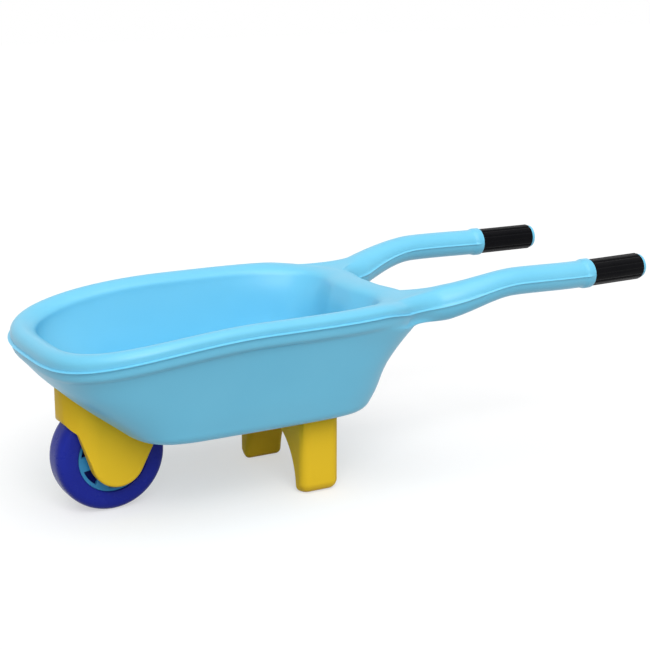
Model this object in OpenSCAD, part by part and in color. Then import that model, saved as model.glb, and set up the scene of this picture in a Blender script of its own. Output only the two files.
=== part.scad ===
/* [Overall] */
// Length from the nose of the tub to the tips of the arms
overall_l = 792; // [760:1:840]

/* [Tub] */
// Width of the tub over the bead
tub_w = 325; // [300:1:350]
// Length of the tub from its nose to the edge of the rear deck
tub_l = 464; // [450:1:480]
// Distance from the nose to the widest place
widest_at = 202; // [190:1:215]
// Height of the bead along the sides
bead_z = 226.5; // [215:1:240]
// How far the bead drops towards the nose
nose_drop = 31; // [15:1:40]
// How far the bead drops towards the edge of the rear deck
deck_drop = 10; // [4:1:14]
// How far the bead stands out of the rolled rim
bead_out = 1.8; // [1:0.1:3]
// Width of the rolled rim, from the bead to the inner wall
roll_w = 34; // [28:1:40]
// Height of the roll above the bead
roll_up = 13; // [9:0.5:16]
// The same at the nose
nose_up = 19; // [14:0.5:22]
// Depth of the roll below the bead
roll_down = 17; // [14:0.5:20]
// How far the outer wall stands back under the roll along the sides
roll_back = 12; // [8:0.5:16]
// The same at the nose
nose_back = 8.5; // [5:0.5:12]
// Depth of the roll below the bead at the nose
nose_roll = 14.5; // [12:0.5:20]
// How far the deck's edge sweeps back towards the arms
sweep = 9; // [0:0.5:11]
// Depth of the rear deck from its edge to the inner wall
deck_l = 52; // [44:1:60]
// Height of the rear deck above the bead
deck_up = 18.5; // [14:0.5:20]
// Depth of the rear deck's edge below the bead
deck_down = 16; // [13:0.5:19]
// Height of the underside of the floor
floor_z = 99; // [92:1:104]
// Thickness of the floor
floor_t = 6; // [4:0.5:9]
// Width of the flat underside
floor_w = 212; // [190:1:230]
// Distance from the nose to the front of the flat underside
floor_from = 109; // [102:1:116]
// Distance from the nose to the back of the flat underside
floor_to = 388; // [376:1:392]
// Thickness of the double side wall at its foot
wall_t = 10; // [8:0.5:14]

/* [Arms] */
// Distance between the arm centres at their tips
arm_span = 234.5; // [220:0.5:250]
// Widest distance between the arm centres
arm_bulge = 244.8; // [230:0.5:260]
// Distance between the arm centres where they leave the deck
root_span = 186; // [176:1:196]
// Height of the arm centre at the grip
grip_z = 239.5; // [225:0.5:260]
// Radius of an arm where it leaves the deck
root_r = 22.5; // [20:0.5:25]
// Radius of an arm along its straight part
arm_r = 17.2; // [15:0.1:20]
// Radius of the collar that stops the grip
collar_r = 18.8; // [17:0.1:22]
// Length of the collar
collar_l = 15; // [12:1:30]

/* [Grips] */
// Length of a grip
grip_l = 85; // [60:1:100]
// Outer radius of a grip over its ribs
grip_r = 17.1; // [15:0.1:20]
// Radius of the arm's end inside the grip
core_r = 13.4; // [11:0.1:14]
// Number of ribs round a grip
grip_ribs = 12; // [8:1:18]
// Height of the ribs
rib_h = 0.9; // [0.5:0.1:1.5]
// How far the rounded arm end stands out of the grip
tip_out = 3; // [2:0.5:6]

/* [Wheel] */
// Distance from the nose to the axle
axle_at = 93.5; // [90:0.5:98]
// Radius of the tyre
tyre_r = 67; // [62:0.5:69]
// Width of the tyre
tyre_w = 42; // [36:0.5:43]
// Radius of the opening in the tyre's side
hub_r = 42.5; // [36:0.5:44]
// Thickness of the web that closes the middle of the tyre
web_t = 3; // [2:0.5:5]
// Radius of the hub in the middle of the web
web_hub_r = 14; // [11:0.5:18]
// Depth of the hub discs under the tyre's side
hub_sunk = 3; // [2:0.5:5]
// Thickness of a spoke
spoke_t = 4; // [2:0.5:6]
// Width of a spoke
spoke_w = 17; // [10:0.5:20]
// Number of spokes
spokes = 6; // [5:1:7]
// Width of the ring round the spokes
ring_w = 3; // [2:0.5:6]
// Radius of the boss in the middle of a hub disc
boss_r = 10; // [8:0.5:11]
// Radius of the axle
axle_r = 5; // [4:0.25:6]

/* [Fork] */
// Width of the fork over its cheeks
fork_w = 76; // [72:0.5:84]
// Width of the wheel slot between the cheeks
slot_w = 47; // [46:0.5:50]
// Gap between the tyre's tread and the fork
slot_gap = 2.5; // [2:0.5:4]
// Distance from the axle forward to the face of the front bridge
bridge_x = 58.5; // [57.5:0.5:62]
// Height of the lower edge of the front bridge at its face
bridge_z = 113.5; // [109:0.5:116]
// Distance from the axle forward to the cheeks' front edge under the bridge
neck_x = 45; // [42:0.5:50]
// Height of the place where the cheeks' front edge begins
neck_z = 103; // [100:0.5:106]
// Distance from the axle back to the cheeks' upper rear corner
cheek_x = 54.5; // [50:0.5:62]
// Radius of the rounded foot of a cheek
cheek_r = 32.5; // [30:0.5:36]
// How far the middle of that foot lies behind the axle
cheek_back = 1; // [0:0.5:2]
// Radius of the upright front corners of the bridge
corner_r = 30; // [20:1:34]
// Depth of the blind axle sockets in the cheeks
socket_l = 8; // [6:0.5:11]

/* [Stand] */
// Distance from the nose to the front face of the stand
stand_at = 309.5; // [300:0.5:320]
// Length of a foot along the barrow
foot_l = 50; // [40:1:54]
// Width of the stand over its feet
stand_w = 175; // [160:1:184]
// Width of the arch between the legs
arch_w = 127; // [110:1:130]
// Height of the arch
arch_h = 73; // [60:1:80]
// Radius of the stand's four upright edges
upright_r = 9; // [7:0.5:14]

/* [Screws] */
// Radius of the screw shanks
screw_r = 1.6; // [1.4:0.1:2.5]
// Length of the shanks
screw_l = 20; // [14:1:24]
// Radius of the screw heads
head_r = 4; // [3.5:0.25:5]
// Thickness of the screw heads
head_t = 2; // [1.5:0.25:3]

/* [Fits] */
// Gap between the mouldings where one seats on another
seat = 0.3; // [0.1:0.05:0.5]
// Radial running clearance of the wheel on the axle
axle_fit = 0.08; // [0.02:0.01:0.1]
// Radial clearance of the axle in its sockets
socket_fit = 0.04; // [0.02:0.01:0.1]
// End play of the wheel between the cheeks, on each side
end_play = 0.5; // [0.4:0.1:1]
// Radial clearance of a grip on the arm's end
grip_fit = 0.2; // [0.1:0.05:0.4]
// Radial clearance of a hub disc in the tyre
disc_fit = 0.1; // [0.05:0.05:0.3]
// Radial clearance of a shank in the floor
screw_fit = 0.2; // [0.1:0.05:0.5]
// Radial clearance of a shank in its pilot hole
pilot_fit = 0.05; // [0.02:0.01:0.1]

/* [Hidden] */

blue = [0.44, 0.78, 0.94];
yellow = [0.82, 0.68, 0.16];
deep_blue = [0.16, 0.2, 0.6];
hub_blue = [0.25, 0.6, 0.85];
black = [0.06, 0.06, 0.07];
steel = [0.7, 0.7, 0.72];

nose_x = -overall_l / 2;
tip_x = overall_l / 2;
mid_x = nose_x + widest_at;
axle_x = nose_x + axle_at;
axle_z = tyre_r;
eps = 0.05;                                // keeps faces of cut and cutter apart

function mix(a, b, t) = a + (b - a) * t;
function unit(v) = v / norm(v);
function ease(t) = let (u = min(max(t, 0), 1)) u * u * (3 - 2 * u);
// Height of a curve through (0, a) and (1, b) with slopes da and db at its ends
function bend(a, b, da, db, t) =
    a * (2 * t * t * t - 3 * t * t + 1) + b * (3 * t * t - 2 * t * t * t)
    + da * (t * t * t - 2 * t * t + t) + db * (t * t * t - t * t);

// ---- Tub: rings that go round the same centre, from the inner floor over the rim to the underside ----
half_w = tub_w / 2;
front_l = widest_at;
rear_l = tub_l - widest_at;
steps = 48;                                // directions from the nose to the middle of the rear deck
root_from = 40;                            // first direction taken up by an arm's root
root_to = 44;                              // last direction taken up by an arm's root
nose_n = 3.3;                              // squareness of the rim's outline at the nose
rear_n = 4.2;                              // squareness of the rim's outline at the back
foot_nose_n = 4.4;                         // the same for the outline of the floor
foot_rear_n = 7;

function dir(k) = 180 - 180 * k / steps;
// Radius of a superellipse with semi-axes a and b in direction d
function reach(a, b, n, d) = pow(pow(abs(cos(d)) / a, n) + pow(abs(sin(d)) / b, n), -1 / n);
// Point of a ring: spec is [front, half width, rear, nose squareness, rear squareness]
function plan(s, k) = let (d = dir(k), f = d > 90,
    r = reach(f ? s[0] : s[2], s[1], f ? s[3] : s[4], d)) [mid_x + r * cos(d), -r * sin(d)];

rim = [front_l, half_w, rear_l, nose_n, rear_n];
function rim_x(k) = plan(rim, k)[0];
// 1 at the nose and 0 where the rim levels out
function noseness(k) = pow(max(0, (mid_x + 30 - rim_x(k)) / (front_l + 30)), 1.9);
// 0 along the sides and 1 at the edge of the rear deck
function rearness(k) = ease((rim_x(k) - (mid_x + 180)) / (rear_l - 180));
function lift(zn, zs, zr, k) = zs + (zn - zs) * noseness(k) + (zr - zs) * rearness(k);

nose_z = bead_z - nose_drop;
deck_z = bead_z - deck_drop;
// A ring near the rim, drawn in by inset, and by rear_inset at the deck; rise is its height over the
// bead at the nose, along the sides and at the deck
function near_rim(inset, rear_inset, rise, k) =
    let (p = plan([front_l - inset, half_w - inset, rear_l - rear_inset, nose_n, rear_n], k), y = -p[1],
         back = sweep * rearness(k) * ease((y - 15) / 55) * ease((140 - y) / 50))
    [p[0] + back, p[1], lift(nose_z + rise[0], bead_z + rise[1], deck_z + rise[2], k)];
// A ring of the walls: semi-axes, squareness and heights
function wall(front, side, rear, n_front, n_rear, zn, zs, zr, k) =
    let (p = plan([front, side, rear, n_front, n_rear], k))
    [p[0], p[1], lift(zn, zs, zr, k)];

// Quarter of the roll's oval section at angle a: [share of its width, share of its height]
function oval(a) = [1 - cos(a), sin(a)];
roll_in = roll_w * 0.4;                    // from the bead to the roll's ridge
deck_in = deck_l * 0.4;                    // from the deck's edge to its ridge
ups = [nose_up, roll_up, deck_up];         // height of the ridge at the nose, the sides and the deck

foot_front = front_l - floor_from;         // semi-axes of the flat underside
foot_rear = floor_to - widest_at;
foot_half = floor_w / 2;
under_front = front_l - nose_back;         // semi-axes of the crease under the roll
under_half = half_w - roll_back;
under_rear = rear_l - 2;
under_z = [nose_z - nose_roll, bead_z - roll_down, deck_z - deck_down];
knee_z = mix(floor_z, bead_z, 0.476);      // height of the bend in the rear wall
knee_front = mix(foot_front + 15, under_front + 4, (knee_z - floor_z) / (under_z[0] - floor_z));
knee_half = mix(foot_half + 10, under_half, (knee_z - floor_z) / (under_z[1] - floor_z));
knee_rear = rear_l - 39.5;
ramp_z = floor_z + 17;                     // height of the start of the flat ramp under the nose
ramp_front = mix(foot_front + 12, knee_front, 0.25);

function outer(i, k) =
    i == 0 ? near_rim(0, 0, [0, 0, 0], k) :
    i == 1 ? near_rim(bead_out, bead_out, [-1.4, -1.4, -1.4], k) :
    i == 2 ? near_rim(2.2, 2, [-5, -6, -6], k) :
    i == 3 ? near_rim(4, 2.4, 0.7 * [-nose_roll, -roll_down, -deck_down], k) :
    i == 4 ? wall(under_front, under_half, under_rear, nose_n, 5.8, under_z[0], under_z[1], under_z[2], k) :
    i == 5 ? wall(mix(knee_front, under_front, 0.7), mix(knee_half, under_half, 0.7),
                  mix(knee_rear, under_rear, 0.27), mix(3.4, nose_n, 0.7), 5.8, mix(knee_z, under_z[0], 0.7),
                  mix(knee_z, under_z[1], 0.7), mix(knee_z, under_z[2], 0.3), k) :
    i == 6 ? wall(knee_front, knee_half, knee_rear, 3.6, 6, knee_z, knee_z, knee_z, k) :
    i == 7 ? wall(ramp_front, foot_half + 15,
                  mix(foot_rear + 12, knee_rear, 0.3), 4, 6.5, ramp_z, ramp_z, ramp_z, k) :
    i == 8 ? wall(foot_front + 16, foot_half + 11, foot_rear + 12, foot_nose_n, foot_rear_n,
                  floor_z + 7, floor_z + 7, floor_z + 7, k) :
    i == 9 ? wall(foot_front + 9, foot_half + 6, foot_rear + 7, foot_nose_n, foot_rear_n,
                  floor_z + 1.8, floor_z + 1.8, floor_z + 1.8, k) :
    wall(foot_front, foot_half, foot_rear, foot_nose_n, foot_rear_n, floor_z, floor_z, floor_z, k);
outer_rows = 10;

inner_z = floor_z + floor_t;
function inner(i, k) =
    i == 0 ? near_rim(0, 0, [0, 0, 0], k) :
    i == 1 ? near_rim(bead_out, bead_out, [1.4, 1.4, 1.4], k) :
    i <= 4 ? let (o = oval((i - 1) * 30), low = [1.4, 1.4, 1.4])
        near_rim(mix(bead_out, roll_in, o[0]), mix(bead_out, deck_in, o[0]), low + (ups - low) * o[1], k) :
    i == 5 ? near_rim(roll_w * 0.68, deck_l * 0.82, ups - [3, 3, 0.4], k) :
    i == 6 ? near_rim(roll_w * 0.87, deck_l * 0.97, ups - [8.5, 8.5, 4], k) :
    i == 7 ? near_rim(roll_w, deck_l + 3, ups - [16, 16, 14], k) :
    i == 8 ? wall(foot_front + 44, foot_half + 13, foot_rear + 6, 3.4, 5.5,
                  mix(inner_z, nose_z, 0.58), mix(inner_z, bead_z, 0.5), mix(inner_z, deck_z, 0.5), k) :
    i == 9 ? wall(foot_front + 6, foot_half + 12 - wall_t, foot_rear - 2, 4, 6.5,
                  inner_z + 14, inner_z + 14, inner_z + 14, k) :
    i == 10 ? wall(foot_front - 4, foot_half + 7 - wall_t, foot_rear - 7, foot_nose_n, foot_rear_n,
                  inner_z + 4, inner_z + 4, inner_z + 4, k) :
    wall(foot_front - 14, foot_half - 1 - wall_t, foot_rear - 15, foot_nose_n, foot_rear_n,
         inner_z, inner_z, inner_z, k);
inner_rows = 11;
ridge = 4;                                 // row of the roll's ridge above and of the crease below

// ---- Arms: rings that leave a mouth in the body's rim and run along a bent centre line ----
deck_x = nose_x + tub_l;                   // edge of the rear deck
grip_in_x = tip_x - tip_out - grip_l;      // where the collar ends and the grip begins
swing = 44;                                // length over which an arm swings out from the deck
climb_from = deck_x - 10;                  // the arm climbs between these two places
climb_to = deck_x + 128;
slim_to = deck_x + 114;                    // where the arm reaches its straight radius
merge_x = deck_x + 33;                     // first ring that is a full round
toe_from = mix(deck_x, grip_in_x, 0.8);    // from here the arms lean in a little to their tips

function arm_y(x) = arm_bulge / 2 - (arm_bulge - root_span) / 2 * exp(-(x - deck_x - 11) / swing)
    - (arm_bulge - arm_span) / 2 * max(0, x - toe_from) / (tip_x - toe_from);
function arm_z(x) = deck_z + (grip_z + 2 - deck_z) * ease((x - climb_from) / (climb_to - climb_from))
    - 2 * ease((x - climb_to) / (grip_in_x - climb_to));
function arm_r_at(x) = mix(root_r, arm_r, ease((x - deck_x - 6) / (slim_to - deck_x - 6)));

// Angles round an arm from its outer bead over the top: rows of the rim, then columns of the ridge
quarter = [0, 5, 26, 46, 64, 77, 90, 103, 116, 134, 154, 175, 180];
around = 24;
function arm_angle(i) = i <= 12 ? quarter[i] : 360 - quarter[around - i];
// Ring of radius r round the centre line at x, with the bead standing out by b on both sides
function round_ring(x, r, b) =
    let (t = unit([2, -(arm_y(x + 1) - arm_y(x - 1)), arm_z(x + 1) - arm_z(x - 1)]),
         out = unit(cross(t, [0, 0, 1])), up = cross(out, t), c = [x, -arm_y(x), arm_z(x)])
    [for (i = [0:around - 1]) let (a = arm_angle(i), q = i % 12 == 0 ? r + b : r)
        c + q * (cos(a) * out + sin(a) * up)];

// Rings: [place along the arm, radius, bead]
straight_x = grip_in_x - collar_l;
arm_stations = concat(
    [for (i = [0:6]) let (x = mix(merge_x, slim_to, i / 6)) [x, arm_r_at(x), bead_out]],
    [for (i = [1:4]) let (x = mix(slim_to, straight_x, i / 4)) [x, arm_r, bead_out]],
    [[straight_x + collar_l * 0.2, mix(arm_r, collar_r, 0.6), bead_out * 0.8],
     [straight_x + collar_l * 0.45, collar_r, bead_out * 0.6],
     [straight_x + collar_l * 0.8, collar_r, bead_out * 0.3],
     [grip_in_x - 0.6, collar_r - 0.4, 0], [grip_in_x, collar_r - 1.2, 0], [grip_in_x, core_r, 0],
     [tip_x - tip_out, core_r, 0], [tip_x - tip_out * 0.35, core_r * 0.9, 0], [tip_x, core_r * 0.68, 0]]);
flare_rings = 4;
flare_pull = 46;                           // how strongly the root keeps the direction of the deck

module body_shell() {
    // rows run from the inner floor, up over the rim and down to the underside
    rows = inner_rows + outer_rows;
    ring = 2 * steps;
    function half(j, k) = j <= inner_rows ? inner(inner_rows - j, k) : outer(j - inner_rows, k);
    function flip(p) = [p[0], -p[1], p[2]];
    function at(j, k) = k <= steps ? half(j, k) : flip(half(j, 2 * steps - k));
    top_row = inner_rows - ridge;
    low_row = inner_rows + ridge;
    wide = root_to - root_from;
    // [row, column] of each point of the mouth, in the order of the arm's rings
    mouth = concat(
        [for (r = [0:ridge]) [inner_rows - r, root_from]],
        [for (k = [root_from + 1:root_to]) [top_row, k]],
        [for (r = [ridge - 1:-1:0]) [inner_rows - r, root_to]],
        [for (r = [1:ridge]) [inner_rows + r, root_to]],
        [for (k = [root_to - 1:-1:root_from]) [low_row, k]],
        [for (r = [ridge - 1:-1:1]) [inner_rows + r, root_from]]);
    rounds = [for (s = arm_stations) round_ring(s[0], s[1], s[2])];
    lead = unit([1, -(arm_y(merge_x + 1) - arm_y(merge_x)), arm_z(merge_x + 1) - arm_z(merge_x)]);
    function flared(t, i) =
        let (a = arm_angle(i), from = half(mouth[i][0], mouth[i][1]),
             start = flare_pull * [1, 0.3 * (1 + cos(a)), a > 90 && a < 180 ? 0.35 * sin(2 * a - 180) : 0],
             end = flare_pull * lead)
        [for (c = [0:2]) bend(from[c], rounds[0][i][c], start[c], end[c], t)];
    arm_rings = concat([for (j = [1:flare_rings - 1]) [for (i = [0:around - 1]) flared(j / flare_rings, i)]],
                       rounds);
    count = len(arm_rings);
    shell = (rows + 1) * ring;
    function closed(j, k) = (k >= root_from && k < root_to || k >= ring - root_to && k < ring - root_from)
        && j >= top_row && j < low_row;
    // index of point i of ring j of an arm; ring 0 is the mouth; side 0 is the left arm
    function arm_at(side, j, i) = let (n = i % around)
        j == 0 ? mouth[n][0] * ring + (side == 0 ? mouth[n][1] : (ring - mouth[n][1]) % ring)
        : shell + (side * count + j - 1) * around + n;
    function turn(side, f) = side == 0 ? f : [f[2], f[1], f[0]];
    points = concat(
        [for (j = [0:rows]) for (k = [0:ring - 1]) at(j, k)],
        [for (r = arm_rings) for (p = r) p],
        [for (r = arm_rings) for (p = r) flip(p)]);
    faces = concat(
        [[for (k = [ring - 1:-1:0]) k]],
        [for (j = [0:rows - 1]) for (k = [0:ring - 1]) if (!closed(j, k)) let (n = (k + 1) % ring)
            each [[j * ring + k, j * ring + n, (j + 1) * ring + k],
                  [(j + 1) * ring + k, j * ring + n, (j + 1) * ring + n]]],
        [[for (k = [0:ring - 1]) rows * ring + k]],
        [for (side = [0:1]) for (j = [0:count - 1]) for (i = [0:around - 1])
            each [turn(side, [arm_at(side, j, i), arm_at(side, j, i + 1), arm_at(side, j + 1, i)]),
                  turn(side, [arm_at(side, j + 1, i), arm_at(side, j, i + 1), arm_at(side, j + 1, i + 1)])]],
        [for (side = [0:1]) let (cap = [for (i = [0:around - 1]) arm_at(side, count, i)])
            side == 0 ? cap : [for (i = [around - 1:-1:0]) cap[i]]]);
    polyhedron(points, faces);
}

// ---- Outlines ----
// Corner at q between p and s, rounded with radius r
function rounded(p, q, s, r, n) =
    let (u = unit(p - q), v = unit(s - q), h = acos(u * v) / 2, c = q + unit(u + v) * r / sin(h),
         from = q + u * r / tan(h) - c, to = q + v * r / tan(h) - c,
         a = atan2(from[1], from[0]), swept = (atan2(to[1], to[0]) - a + 540) % 360 - 180)
    [for (i = [0:n]) c + r * [cos(a + swept * i / n), sin(a + swept * i / n)]];
// Closed outline through corners [x, y, radius]; a radius of 0 leaves a corner sharp
function outline(c, n) = let (k = len(c)) [for (i = [0:k - 1])
    let (p = c[(i + k - 1) % k], q = c[i], s = c[(i + 1) % k])
    each q[2] == 0 ? [[q[0], q[1]]] : rounded([p[0], p[1]], [q[0], q[1]], [s[0], s[1]], q[2], n)];
// The outline p, which runs anticlockwise, moved inwards by d
function inset(p, d) = let (n = len(p)) [for (i = [0:n - 1])
    let (u = unit(p[i] - p[(i + n - 1) % n]), v = unit(p[(i + 1) % n] - p[i]), w = unit(u + v))
    p[i] + d / (w * v) * [-w[1], w[0]]];

// A plate of outline p and half thickness h, with edges rounded to radius e
module soft_plate(p, h, e) {
    n = len(p);
    turns = [90, 60, 30, 0];
    levels = concat([for (a = turns) [e * (1 - cos(a)), e * (1 - sin(a)) - h]],
                    [for (i = [3:-1:0]) [e * (1 - cos(turns[i])), h - e * (1 - sin(turns[i]))]]);
    rings = [for (l = levels) [for (q = inset(p, l[0])) [q[0], q[1], l[1]]]];
    last = len(rings) - 1;
    polyhedron([for (r = rings) for (q = r) q], concat(
        [[for (i = [0:n - 1]) i]],
        [for (j = [0:last - 1]) for (i = [0:n - 1]) let (m = (i + 1) % n)
            each [[j * n + i, (j + 1) * n + i, j * n + m], [j * n + m, (j + 1) * n + i, (j + 1) * n + m]]],
        [[for (i = [n - 1:-1:0]) last * n + i]]));
}
// Sets a shape drawn in X and Y upright, so that its Y is height and its Z runs to the left
module upright() {
    rotate([90, 0, 0]) children();
}

// ---- Ramp under the nose, where the fork seats ----
ramp_slope = (knee_z - ramp_z) / (ramp_front - knee_front);
ramp_a = -atan(ramp_slope);                // angle of the ramp over the floor
ramp_round = 26;                           // radius that takes the ramp over into the floor
// Height over the axle's distance x of a line d outside the ramp
function ramp_at(x, d) = ramp_z + (x - mid_x + ramp_front) * ramp_slope - d / cos(ramp_a);
function ramp_foot(d) = mid_x - ramp_front + (floor_z - d + d / cos(ramp_a) - ramp_z) / ramp_slope;
// Side view of all that lies under the tub, a distance d from it
module under_tub(d) {
    start = [tip_x, floor_z - d];
    corner = [ramp_foot(d), floor_z - d];
    end = [nose_x, ramp_at(nose_x, d)];
    upright() linear_extrude(tub_w, center = true)
        polygon(concat([[nose_x, -tyre_r], [tip_x, -tyre_r], start],
                       rounded(start, corner, end, ramp_round, 6), [end]));
}

// ---- Screws: each is placed by the underside of its head ----
cheek_screw_x = axle_x + 38;
cheek_screw_y = fork_w / 2 - 4;
bridge_screw_x = axle_x - 38;
bridge_screw_y = 20;
stand_x = nose_x + stand_at + foot_l / 2;
module at_cheek_screws() {
    for (side = [-1, 1]) translate([cheek_screw_x, side * cheek_screw_y, inner_z]) children();
}
module at_bridge_screws() {
    for (side = [-1, 1])
        translate([bridge_screw_x, side * bridge_screw_y, ramp_at(bridge_screw_x, 0)])
            rotate([0, ramp_a, 0]) translate([0, 0, floor_t]) children();
}
module at_stand_screws() {
    for (y = [-leg_y, -leg_y / 2.4, leg_y / 2.4, leg_y]) translate([stand_x, y, inner_z]) children();
}
module floor_hole() {
    translate([0, 0, -floor_t - 1]) cylinder(r = screw_r + screw_fit, h = floor_t + 2, $fn = 32);
}
module pilot_hole() {
    translate([0, 0, -screw_l - 1]) cylinder(r = screw_r + pilot_fit, h = screw_l + 1, $fn = 32);
}
module screw() {
    translate([0, 0, -screw_l + 2]) cylinder(r = screw_r, h = screw_l - 2, $fn = 32);
    translate([0, 0, -screw_l]) cylinder(r1 = 0.3, r2 = screw_r, h = 2, $fn = 32);
    difference() {
        cylinder(r1 = head_r, r2 = head_r * 0.75, h = head_t, $fn = 48);
        for (a = [0, 90]) rotate(a) translate([0, 0, head_t]) cube([head_r, 1, head_t], center = true);
    }
}

// ---- Tub ----
well_r = tyre_r + slot_gap + 1;            // wheel well in the underside
well_half = slot_w / 2 + 1;
well_rim = 14;                             // the well and the slot round off with the tyre
hump_t = 4.5;                              // thickness of the hump over the well
cup_r = head_r + 3;                        // cups in the double front wall for the bridge screws

// A wheel of radius r and half width h about the axle, with its rims rounded to radius e
module round_block(r, h, e) {
    translate([axle_x, 0, axle_z]) rotate([90, 0, 0]) rotate_extrude($fn = 96)
        polygon(concat([[0, -h]], rounded([0, -h], [r, -h], [r, h], e, 4),
                       rounded([r, -h], [r, h], [0, h], e, 4), [[0, h]]));
}
module tub() {
    color(blue) difference() {
        union() {
            body_shell();
            difference() {
                round_block(well_r + hump_t, well_half + hump_t, well_rim + hump_t);
                under_tub(-2);
            }
        }
        round_block(well_r, well_half, well_rim);
        at_cheek_screws() floor_hole();
        at_stand_screws() floor_hole();
        at_bridge_screws() {
            floor_hole();
            cylinder(r = cup_r, h = 30, $fn = 48);
        }
    }
}

// ---- Grips ----
grip_turn = atan((arm_y(grip_in_x) - arm_y(tip_x - tip_out)) / grip_l);
rib_points = 8;
function rib_outline() = [for (i = [0:grip_ribs * rib_points - 1])
    let (a = 360 * i / (grip_ribs * rib_points), t = (i % rib_points) / rib_points,
         r = grip_r - rib_h + rib_h * min(1, 1.6 * sin(180 * t)))
    [r * cos(a), r * sin(a)]];
module grip(side) {
    length = grip_l / cos(grip_turn) - 2 * seat;
    mould_r = grip_r + 0.2;
    translate([grip_in_x, side * arm_y(grip_in_x), grip_z]) rotate([0, 0, -side * grip_turn])
        rotate([0, 90, 0]) translate([0, 0, seat]) difference() {
            intersection() {
                linear_extrude(length) polygon(rib_outline());
                rotate_extrude($fn = 64) polygon(concat(
                    [[0, 0]], rounded([0, 0], [mould_r, 0], [mould_r, length], 1.5, 3),
                    rounded([mould_r, 0], [mould_r, length], [0, length], 2.5, 4), [[0, length]]));
            }
            translate([0, 0, -1]) cylinder(r = core_r + grip_fit, h = length + 2, $fn = 64);
        }
}
module left_grip() {
    color(black) grip(-1);
}
module right_grip() {
    color(black) grip(1);
}

// ---- Fork ----
fork_edge = 3.5;
// Direction in which a line from p touches the round foot of a cheek; side is 1 or -1
function touch(p, side) = atan2(p[1], p[0]) + side * acos(cheek_r / norm(p));
front_touch = touch([-neck_x - cheek_back, neck_z - axle_z], 1);
rear_touch = touch([cheek_x - cheek_back, floor_z - axle_z], -1);
function fork_side() = outline(concat(
    [[axle_x - bridge_x, knee_z + 40, 0], [axle_x - bridge_x, bridge_z, 5], [axle_x - neck_x, neck_z, 8]],
    [for (i = [0:16]) let (a = mix(front_touch, rear_touch + 360, i / 16))
        [axle_x + cheek_back + cheek_r * cos(a), axle_z + cheek_r * sin(a), 0]],
    [[axle_x + cheek_x, floor_z, 0], [axle_x + cheek_x, knee_z + 40, 0]]), 5);
function fork_plan() = outline([
    [axle_x - bridge_x, -fork_w / 2, corner_r], [axle_x + tyre_r, -fork_w / 2, 0],
    [axle_x + tyre_r, fork_w / 2, 0], [axle_x - bridge_x, fork_w / 2, corner_r]], 12);
module fork() {
    color(yellow) difference() {
        intersection() {
            upright() soft_plate(fork_side(), fork_w / 2, fork_edge);
            linear_extrude(bead_z) polygon(fork_plan());
            under_tub(seat);
        }
        round_block(tyre_r + slot_gap, slot_w / 2, well_rim);
        translate([axle_x, 0, axle_z]) rotate([90, 0, 0])
            cylinder(r = axle_r + socket_fit, h = slot_w + 2 * socket_l, center = true, $fn = 48);
        at_cheek_screws() pilot_hole();
        at_bridge_screws() pilot_hole();
    }
}

// ---- Stand ----
leg_w = (stand_w - arch_w) / 2;
leg_y = stand_w / 2 - leg_w * 0.6;
stand_edge = 6;                            // radius of the edges round the stand's front and back
function stand_front() = outline(concat(
    [[-stand_w / 2, floor_z + 10, 0], [-stand_w / 2, 0, 10], [-arch_w / 2 - 1, 0, 8]],
    [for (i = [1:23]) let (a = 180 - 180 * i / 24) [arch_w / 2 * cos(a), arch_h * sin(a), 0]],
    [[arch_w / 2 + 1, 0, 8], [stand_w / 2, 0, 10], [stand_w / 2, floor_z + 10, 0]]), 4);
module stand() {
    color(yellow) difference() {
        intersection() {
            translate([stand_x, 0, 0]) rotate([90, 0, 90]) soft_plate(stand_front(), foot_l / 2, stand_edge);
            linear_extrude(floor_z - seat) polygon(outline([for (q = [[-1, -1], [1, -1], [1, 1], [-1, 1]])
                [stand_x + q[0] * (foot_l / 2 - eps), q[1] * (stand_w / 2 - eps), upright_r]], 6));
        }
        at_stand_screws() pilot_hole();
    }
}

// ---- Wheel ----
bore_r = axle_r + axle_fit;
web_hub_l = 2 * web_t + 2;                 // length of the hub in the middle of the web
tread_n = 4.4;                             // squareness of the tyre's round tread
tread_in = hub_r + 2.5;                    // radius at which the tread starts to round
function tread(a) = [tread_in + (tyre_r - tread_in) * pow(abs(cos(a)), 2 / tread_n),
                     sign(a) * tyre_w / 2 * pow(abs(sin(a)), 2 / tread_n)];
function tyre_half() = concat(
    [[bore_r, web_hub_l / 2], [web_hub_r, web_hub_l / 2], [web_hub_r + 1, web_t / 2], [hub_r, web_t / 2],
     [hub_r, tyre_w / 2 - 2], [hub_r + 0.6, tyre_w / 2 - 0.6]],
    [for (i = [12:-1:1]) tread(90 * i / 12)]);
module tyre() {
    half = tyre_half();
    color(deep_blue) translate([axle_x, 0, axle_z]) rotate([90, 0, 0]) rotate_extrude($fn = 96)
        polygon(concat(half, [[tyre_r, 0]], [for (i = [len(half) - 1:-1:0]) [half[i][0], -half[i][1]]]));
}
disc_r = hub_r - disc_fit;
disc_face = tyre_w / 2 - hub_sunk;
disc_foot = web_hub_l / 2 + disc_fit;      // the boss stands on the hub of the web
cap_r = boss_r + 6;                        // raised middle of the disc
spoke_dip = 0.6;                           // the spokes lie this far under the ring
function disc_half() = [
    [bore_r, disc_foot], [boss_r + 2, disc_foot], [boss_r + 2, disc_face - spoke_t],
    [disc_r, disc_face - spoke_t], [disc_r, disc_face], [disc_r - ring_w, disc_face],
    [disc_r - ring_w, disc_face - spoke_dip], [cap_r, disc_face - spoke_dip], [cap_r, disc_face],
    [boss_r, disc_face], [boss_r, slot_w / 2 - end_play], [bore_r, slot_w / 2 - end_play]];
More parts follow.
